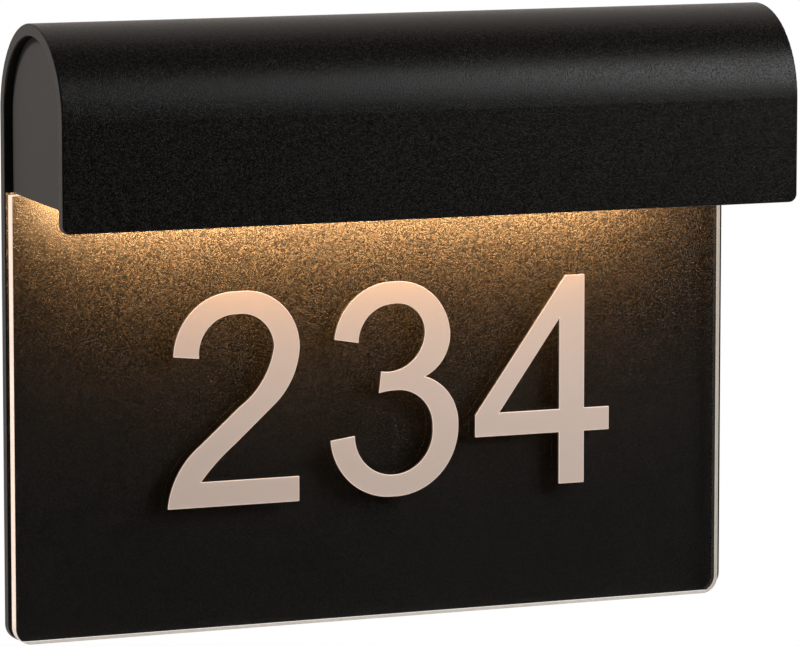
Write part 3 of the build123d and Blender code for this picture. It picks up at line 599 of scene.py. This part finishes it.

# %% [markdown]
# ## Digits and end caps
# A digit has three surfaces: its satin face, the rounded edge with its painted highlight, and the
# thin wall down to the clear sheet, in painted shade. How far a polygon faces the front tells
# which one it is. The caps have one finish all over.

# %% Digits and end caps
FACE_FROM, EDGE_FROM = 0.95, 0.2
for digit in ("number_2", "number_3", "number_4"):
    plate = soft_edged(digit, 0.2)
    for finish in (satin, cut_edge, wall):
        plate.materials.append(finish)
    for face in plate.polygons:
        frontal = abs(face.normal.y)
        # The rounded edges get the painted highlight, and the thin walls the painted shade.
        face.material_index = 0 if frontal > FACE_FROM else 1 if frontal > EDGE_FROM else 2
    shown(digit + "_plate", plate, "satin_digit", digit)
for side in ("left", "right"):
    shell = soft_edged(f"{side}_end_cap", 0.3)
    shell.materials.append(finishes["cap"])
    shown(side + "_cap_moulding", shell, "dark_grey_cap", side + "_end_cap")

# %% [markdown]
# ## The clear sheet
# Its edges get a wider round, since the flame softened them. Along the foot the last 0.6 mm of
# the faces also take the edge finish with its painted glow, so that a pale rim shows there instead
# of the plate behind. A cut across the faces at that height gives the strip its own polygons.

# %% Clear sheet with its own edge finish
sheet = soft_edged("clear_panel", 0.5, segments=3)
sheet.materials.append(acrylic)
sheet.materials.append(edge)
melted_height, quite_frontal = 0.62 * mm, 0.999
melted_top = panel_low.z + melted_height
bm = bmesh.new()
bm.from_mesh(sheet)
bmesh.ops.bisect_plane(
    bm, geom=[*bm.verts, *bm.edges, *bm.faces], plane_co=(0, 0, melted_top), plane_no=(0, 0, 1))
# Faces in the foot strip take the edge finish, so its painted glow replaces the clear glass there.
for face in bm.faces:
    frontal = abs(face.normal.y) > quite_frontal
    face.material_index = 0 if frontal and face.calc_center_median().z > melted_top else 1
bm.to_mesh(sheet)
bm.free()
shown("clear_sheet", sheet, "clear_acrylic", "clear_panel")


# %% [markdown]
# ## Screws, washers and LEDs in rows
# Fasteners and LEDs repeat at a fixed pitch, so one of each is modelled and a Geometry Nodes
# tree sets it out in rows. The tree takes the piece, its finish, how many there are, where the
# first one goes and the steps between them. A seeded random turn about the screw's own axis
# leaves each slot at another angle, as a screwdriver does.

# %% The tree that sets pieces out in rows
rows = bpy.data.node_groups.new("pieces_in_rows", "GeometryNodeTree")
for name, kind in (
        ("Piece", "Object"), ("Finish", "Material"), ("Count", "Int"), ("Rows", "Int"),
        ("First place", "Vector"), ("Step", "Vector"), ("Row step", "Vector"),
        ("Turning axis", "Vector"), ("Seed", "Int")):
    rows.interface.new_socket(name, in_out="INPUT", socket_type="NodeSocket" + kind)
rows.interface.new_socket("Geometry", in_out="OUTPUT", socket_type="NodeSocketGeometry")
given = add(rows, "NodeGroupInput").outputs
index = add(rows, "GeometryNodeInputIndex").outputs[0]
total = add(rows, "ShaderNodeMath", {0: given["Count"], 1: given["Rows"]}, operation="MULTIPLY")
column = add(rows, "ShaderNodeMath", {0: index, 1: given["Count"]}, operation="MODULO")
ratio = add(rows, "ShaderNodeMath", {0: index, 1: given["Count"]}, operation="DIVIDE")
row = add(rows, "ShaderNodeMath", {0: ratio.outputs[0]}, operation="FLOOR")
along = add(rows, "ShaderNodeVectorMath", {
    0: given["Step"], "Scale": column.outputs[0]}, operation="SCALE")
across = add(rows, "ShaderNodeVectorMath", {
    0: given["Row step"], "Scale": row.outputs[0]}, operation="SCALE")
moved = add(rows, "ShaderNodeVectorMath", {0: along.outputs[0], 1: across.outputs[0]})
place = add(rows, "ShaderNodeVectorMath", {0: moved.outputs[0], 1: given["First place"]})
points = add(rows, "GeometryNodePoints", {
    "Count": total.outputs[0], "Position": place.outputs[0]})
turn = add(rows, "FunctionNodeRandomValue", {
    "Max_001": math.tau, "ID": index, "Seed": given["Seed"]}, data_type="FLOAT")
turned_by = add(rows, "ShaderNodeVectorMath", {
    0: given["Turning axis"], "Scale": turn.outputs[1]}, operation="SCALE")
piece = add(rows, "GeometryNodeObjectInfo", {"Object": given["Piece"], "As Instance": True})
copies = add(rows, "GeometryNodeInstanceOnPoints", {
    "Points": points.outputs[0], "Instance": piece.outputs["Geometry"],
    "Rotation": turned_by.outputs[0]})
real = add(rows, "GeometryNodeRealizeInstances", {"Geometry": copies.outputs[0]})
coated = add(rows, "GeometryNodeSetMaterial", {
    "Geometry": real.outputs[0], "Material": given["Finish"]})
add(rows, "NodeGroupOutput", {"Geometry": coated.outputs[0]})
print("tree:", rows.name, len(rows.nodes), "nodes")

# %% [markdown]
# ## Running a tree
# The modifier runs the tree once, and its result becomes a plain mesh, which every renderer and
# exporter understands. The holder and its modifier are then removed.


# %% A tree's result as a plain mesh
def grown(name, tree, values):
    """Runs a node tree once and gives its result as a plain mesh."""
    holder = bpy.data.objects.new(name, bpy.data.meshes.new(name))
    scene.collection.objects.link(holder)
    modifier = holder.modifiers.new("tree", "NODES")
    modifier.node_group = tree
    for item in tree.interface.items_tree:
        if item.in_out == "INPUT" and item.name in values:
            modifier[item.identifier] = values[item.name]
    evaluated = holder.evaluated_get(bpy.context.evaluated_depsgraph_get())
    mesh = bpy.data.meshes.new_from_object(evaluated)
    mesh.name = name
    bpy.data.objects.remove(holder)
    return mesh


print("a tree gives a mesh of its own")

# %% [markdown]
# ## Turned shapes and prisms
# A screw is turned on a lathe, so its outline is spun round its axis, from a few points of
# radius and height in millimetres. The tools that punch its recess are upright prisms.


# %% Turned shapes and prisms
def mesh_of(bm, name):
    """The finished bmesh as a mesh, with its faces pointing outwards."""
    bmesh.ops.recalc_face_normals(bm, faces=bm.faces)
    mesh = bpy.data.meshes.new(name)
    bm.to_mesh(mesh)
    bm.free()
    return mesh


def turned(name, outline, sides=40):
    """A solid spun about Z. Its outline, in mm, ends on the axis or closes on itself."""
    bm = bmesh.new()
    rings = []
    for radius, height in outline:
        count = sides if radius else 1
        rings.append([
            bm.verts.new((
                radius * mm * math.cos(math.tau * i / count),
                radius * mm * math.sin(math.tau * i / count), height * mm))
            for i in range(count)])
    for low, high in zip(rings, rings[1:]):
        for i in range(sides):
            j = (i + 1) % sides
            corners = [
                low[i % len(low)], low[j % len(low)], high[j % len(high)], high[i % len(high)]]
            bm.faces.new(list(dict.fromkeys(corners)))
    bmesh.ops.remove_doubles(bm, verts=bm.verts, dist=SAME_POINT)
    return mesh_of(bm, name)


def prism(name, corners, low, high):
    """An upright prism over a list of corners, in mm."""
    bm = bmesh.new()
    base = [bm.verts.new((x * mm, y * mm, low * mm)) for x, y in corners]
    face = bm.faces.new(base)
    top = bmesh.ops.extrude_face_region(bm, geom=[face])["geom"]
    bmesh.ops.translate(
        bm, verts=[v for v in top if isinstance(v, bmesh.types.BMVert)],
        vec=(0, 0, (high - low) * mm))
    return mesh_of(bm, name)


print("lathe and prisms ready")

# %% [markdown]
# ## Punching and laying down
# A real recess is punched into the head, which a boolean does. The screw is then laid down with
# its top towards the wall side or the front, or stays upright.


# %% Punched recesses and screws laid on their axis
def punched(body, *tools):
    """The body with each tool's shape cut out of it."""
    work = bpy.data.objects.new(body.name, body)
    scene.collection.objects.link(work)
    helpers = []
    for tool in tools:
        helper = bpy.data.objects.new(tool.name, tool)
        scene.collection.objects.link(helper)
        helpers.append(helper)
        cut = work.modifiers.new("punch", "BOOLEAN")
        cut.operation, cut.solver, cut.object = "DIFFERENCE", "EXACT", helper
    evaluated = work.evaluated_get(bpy.context.evaluated_depsgraph_get())
    mesh = bpy.data.meshes.new_from_object(evaluated)
    for extra in [work, *helpers]:
        bpy.data.objects.remove(extra)
    return mesh


def laid(mesh, axis):
    """The upright mesh turned so that its top points along the axis."""
    turn = Vector((0, 0, 1)).rotation_difference(Vector(axis))
    mesh.transform(turn.to_matrix().to_4x4())
    return mesh


def bar(reach, half):
    """The corners of a slot or of one arm of a cross, in mm."""
    return [(-reach, -half), (reach, -half), (reach, half), (-reach, half)]


def hexagon(across_flats):
    """The corners of a hexagonal socket, in mm."""
    corner = across_flats / 2 / math.cos(math.pi / 6)
    return [
        (corner * math.cos(math.tau * i / 6), corner * math.sin(math.tau * i / 6))
        for i in range(6)]


WALL_SIDE, FRONT, UP = (0, 1, 0), (0, -1, 0), (0, 0, 1)
print("recesses: cross, hexagon, slot")

# %% [markdown]
# ## One fastener of each kind
# Countersunk screws with a cross hold the tray and the caps, button heads with a hexagon hold the
# clear sheet on its washers, and slotted screws sit in the driver and the terminal. Each head has
# the small radius at its rim that a rolled head has.


# %% Screws and washer
def countersunk(length):
    """A flat head with a cross recess. Its head's face is at height 0."""
    body = turned("countersunk", [
        (0, 0), (3.55, 0), (3.75, -0.06), (3.8, -0.2), (2.0, -2.2), (2.0, 0.6 - length),
        (1.4, -length), (0, -length)])
    arm = bar(2.3, 0.5)
    cross = [prism("cross", corners, -1.1, 1) for corners in (arm, [(y, x) for x, y in arm])]
    return laid(punched(body, *cross), WALL_SIDE)


spacer_low, spacer_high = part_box("panel_spacers")
spacer = (spacer_high.y - spacer_low.y) / mm
button_low, button_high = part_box("panel_screws")
button_head = 2.2
shank = (button_high.y - button_low.y) / mm - button_head
button = punched(
    turned("button", [
        (0, button_head), (1.6, button_head), (2.48, 2.1), (3.2, 1.66), (3.64, 0.96),
        (3.8, 0.2), (3.7, 0), (2.0, 0), (2.0, 0.35 - shank), (1.6, -shank), (0, -shank)]),
    prism("hexagon", hexagon(2.5), 0.9, 3.2))
laid(button, FRONT)
pan = punched(
    turned("pan", [
        (0, 1.4), (1.7, 1.36), (2.2, 1.1), (2.4, 0.7), (2.4, 0.08), (2.32, 0), (1.25, 0),
        (1.25, -3.9), (0, -3.9)]),
    prism("slot", bar(3, 0.3), 0.8, 2.4))
clamp = punched(
    turned("clamp", [
        (0, 0), (1.62, 0), (1.8, -0.18), (1.8, -4.3), (1.5, -4.55), (0, -4.6)]),
    prism("slot", bar(3, 0.3), -0.6, 1))
washer = laid(turned("washer", [
    (2.3, 0.1), (2.4, 0), (4.4, 0), (4.5, 0.1), (4.5, spacer - 0.1), (4.4, spacer),
    (2.4, spacer), (2.3, spacer - 0.1), (2.3, 0.1)]), FRONT)
print("patterns: button, shank", round(shank, 2), "pan, clamp, washer", round(spacer, 2))

# %% [markdown]
# ## The LED package
# A surface-mount LED is a white plastic cup, 3.5 by 2.8 mm, filled almost to its rim with yellow
# phosphor. Cup and filling are two finishes, so they are two patterns on the same spot. They
# face down.

# %% LED cup and filling
led_x, led_y, led_r = 1.75, 1.4, 0.25
corner_turns = [math.pi / 2 * q + math.pi / 8 * s for q in range(4) for s in range(5)]
outline = [
    (math.copysign(led_x - led_r, math.cos(math.pi / 4 + math.pi / 2 * (i // 5)))
     + led_r * math.cos(a),
     math.copysign(led_y - led_r, math.sin(math.pi / 4 + math.pi / 2 * (i // 5)))
     + led_r * math.sin(a))
    for i, a in enumerate(corner_turns)]
led_cup = punched(
    prism("led_cup", outline, -0.8, 0),
    turned("hollow", [(0, -0.35), (0.95, -0.35), (1.2, -0.9), (0, -0.9)], 32))
led_filling = turned(
    "led_filling", [(0, -0.36), (0.94, -0.36), (1.14, -0.76), (0.6, -0.72), (0, -0.70)], 32)
print("LED cup faces:", len(led_cup.polygons))

# %% [markdown]
# ## Setting them out
# Each row has to fill the box of the CAD node that it stands for. The pattern has the same
# overall size as one CAD piece, so the first place and the step follow from the two boxes.


# %% Filling a CAD node's box with a row
def corners_of(mesh):
    """The lowest and highest corners of a mesh."""
    low = Vector([min(v.co[i] for v in mesh.vertices) for i in range(3)])
    high = Vector([max(v.co[i] for v in mesh.vertices) for i in range(3)])
    return low, high


def set_out(
        name, pattern, finish, slot, node, count, row_count=1, axis=(0, 0, 0), like=None, seed=1):
    """Fills a CAD node's box with rows of a pattern and shows them as one piece."""
    node_low, node_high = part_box(node)
    low, high = corners_of(like or pattern)
    first, last = node_low - low, node_high - high
    step = Vector(((last.x - first.x) / (count - 1), 0, 0))
    row_step = Vector((0, (last.y - first.y) / max(row_count - 1, 1), 0))
    one = bpy.data.objects.new(name + "_pattern", pattern)
    mesh = grown(name, rows, {
        "Piece": one, "Finish": finish, "Count": count, "Rows": row_count,
        "First place": first, "Step": step, "Row step": row_step, "Turning axis": axis,
        "Seed": seed})
    bpy.data.objects.remove(one)
    shown(name, mesh, slot, node)
    print(f"  {count} x {row_count}, step {step.x / mm:.1f} mm")


print("rows ready to be set out")

# %% [markdown]
# ## Every row
# The screws turn about the way they point, each row with its own seed. The LED's filling is set
# out by the cup's size, so that it lands in the cups.

# %% Rows of fasteners and LEDs
screw = finishes["screw"]
set_out("tray_screw_row", countersunk(8.5), screw, "stainless_steel", "tray_screws", 3,
        axis=WALL_SIDE, seed=3)
set_out("cap_screw_row", countersunk(11), screw, "stainless_steel", "end_cap_screws", 2,
        axis=WALL_SIDE, seed=5)
set_out("panel_screw_row", button, screw, "stainless_steel", "panel_screws", 3,
        axis=FRONT, seed=7)
set_out("spacer_row", washer, finishes["nylon"], "natural_nylon", "panel_spacers", 3)
set_out("driver_screw_row", pan, screw, "stainless_steel", "driver_screws", 2, axis=UP, seed=11)
set_out("terminal_screw_rows", clamp, screw, "stainless_steel", "terminal_screws", 2, 2,
        axis=UP, seed=13)
set_out("led_cup_row", led_cup, finishes["led_cup"], "led_phosphor", "led_chips", 24)
set_out("led_filling_row", led_filling, finishes["phosphor"], "led_phosphor", "led_chips", 24,
        like=led_cup)

# %% [markdown]
# ## The inductor's winding
# The choke is a drum of ferrite wound with enamelled wire. The wire lies in a tight helix, two
# layers deep here, so a Geometry Nodes tree makes each layer from a spiral curve and sweeps the
# round wire along it. The number of turns follows from the height and the wire.

# %% Winding tree
winding = bpy.data.node_groups.new("wire_wound_in_two_layers", "GeometryNodeTree")
for name, kind in (
        ("Middle", "Vector"), ("Radius", "Float"), ("Height", "Float"), ("Turns", "Float"),
        ("Wire radius", "Float"), ("Finish", "Material")):
    winding.interface.new_socket(name, in_out="INPUT", socket_type="NodeSocket" + kind)
winding.interface.new_socket("Geometry", in_out="OUTPUT", socket_type="NodeSocketGeometry")
given = add(winding, "NodeGroupInput").outputs
wire_round = add(winding, "GeometryNodeCurvePrimitiveCircle", {
    "Resolution": 8, "Radius": given["Wire radius"]})
layers = add(winding, "GeometryNodeJoinGeometry")
for layer in (0, 1):
    inset = add(winding, "ShaderNodeMath", {
        0: given["Wire radius"], 1: -2.0 * layer, 2: given["Radius"]}, operation="MULTIPLY_ADD")
    helix = add(winding, "GeometryNodeCurveSpiral", {
        "Resolution": 24, "Rotations": given["Turns"], "Start Radius": inset.outputs[0],
        "End Radius": inset.outputs[0], "Height": given["Height"]})
    swept = add(winding, "GeometryNodeCurveToMesh", {
        "Curve": helix.outputs[0], "Profile Curve": wire_round.outputs[0], "Fill Caps": True})
    winding.links.new(swept.outputs[0], layers.inputs[0])
moved = add(winding, "GeometryNodeTransform", {
    "Geometry": layers.outputs[0], "Translation": given["Middle"]})
real = add(winding, "GeometryNodeRealizeInstances", {"Geometry": moved.outputs[0]})
coated = add(winding, "GeometryNodeSetMaterial", {
    "Geometry": real.outputs[0], "Material": given["Finish"]})
add(winding, "NodeGroupOutput", {"Geometry": coated.outputs[0]})
print("tree:", winding.name, len(winding.nodes), "nodes")

# %% [markdown]
# ## The wound coil
# The tree's inputs come from the CAD node's box, so that the coil fills it from rim to rim.

# %% Copper turns
wound_low, wound_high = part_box("inductor_winding")
wire_r = 0.2 * mm
wound_height = wound_high.z - wound_low.z - 2 * wire_r
wound_middle = (wound_low + wound_high) / 2
wound_middle.z = wound_low.z + wire_r
turns = wound_height / (2 * wire_r)
wound = grown("copper_turns", winding, {
    "Middle": wound_middle, "Radius": (wound_high.x - wound_low.x) / 2 - wire_r,
    "Height": wound_height, "Turns": turns, "Wire radius": wire_r,
    "Finish": finishes["copper"]})
for face in wound.polygons:
    face.use_smooth = True
shown("copper_turns", wound, "copper_wire", "inductor_winding")
print("turns:", round(turns, 1))

# %% [markdown]
# ## Parts that keep their CAD shape
# The rest of the solids are already the real shape: the folded profile has its broken edges,
# the tray its grooves, the leads their bends. They only need their finish in place of the plain
# colour that the CAD pack gave them.

# %% Finishes on the CAD nodes
kept = {
    "hood_backplate": coat, "diffuser_lens": opal, "number_adhesive": finishes["tape"],
    "led_tray": finishes["tray"], "thermal_pad": finishes["pad"], "led_board": finishes["board"],
    "driver_case_base": finishes["case"], "driver_case_lid": finishes["case"],
    "driver_board": finishes["green"], "driver_capacitor": finishes["sleeve"],
    "inductor_core": finishes["ferrite"], "driver_chips": finishes["epoxy"],
    "driver_sockets": finishes["socket"], "board_plug": finishes["socket"],
    "terminal_block": finishes["terminal"], "supply_lead_a": finishes["brown"],
    "supply_lead_b": finishes["blue"], "led_lead_positive": finishes["red"],
    "led_lead_negative": finishes["black"], "lead_grommet": finishes["rubber"],
    "cable_grommet": finishes["rubber"]}
for node, finish in kept.items():
    for slot in nodes[node].material_slots:
        slot.material = finish

# %% [markdown]
# ## What the skimming lights reach
# Light linking names the pieces that a lamp lights and the pieces that shade it. The hood, its
# tray and its caps stop the strips' light as the real ones would, so that none of it leaks out
# through the keyholes at the back.

# %% Light linking
plate_only = bpy.data.collections.new("lit_by_skimming_light")
digits_only = bpy.data.collections.new("lit_by_digit_skimming_light")
blocks_skim = bpy.data.collections.new("blocks_skimming_light")
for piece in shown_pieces():
    if piece.name == "hood_backplate":
        plate_only.objects.link(piece)
    if piece.name.startswith("number_"):
        digits_only.objects.link(piece)
    if piece.name in ("hood_backplate", "led_tray", "left_cap_moulding", "right_cap_moulding"):
        blocks_skim.objects.link(piece)
for lamp, lit in ((skim, plate_only), (digit_skim, digits_only)):
    lamp.light_linking.receiver_collection = lit
    lamp.light_linking.blocker_collection = blocks_skim
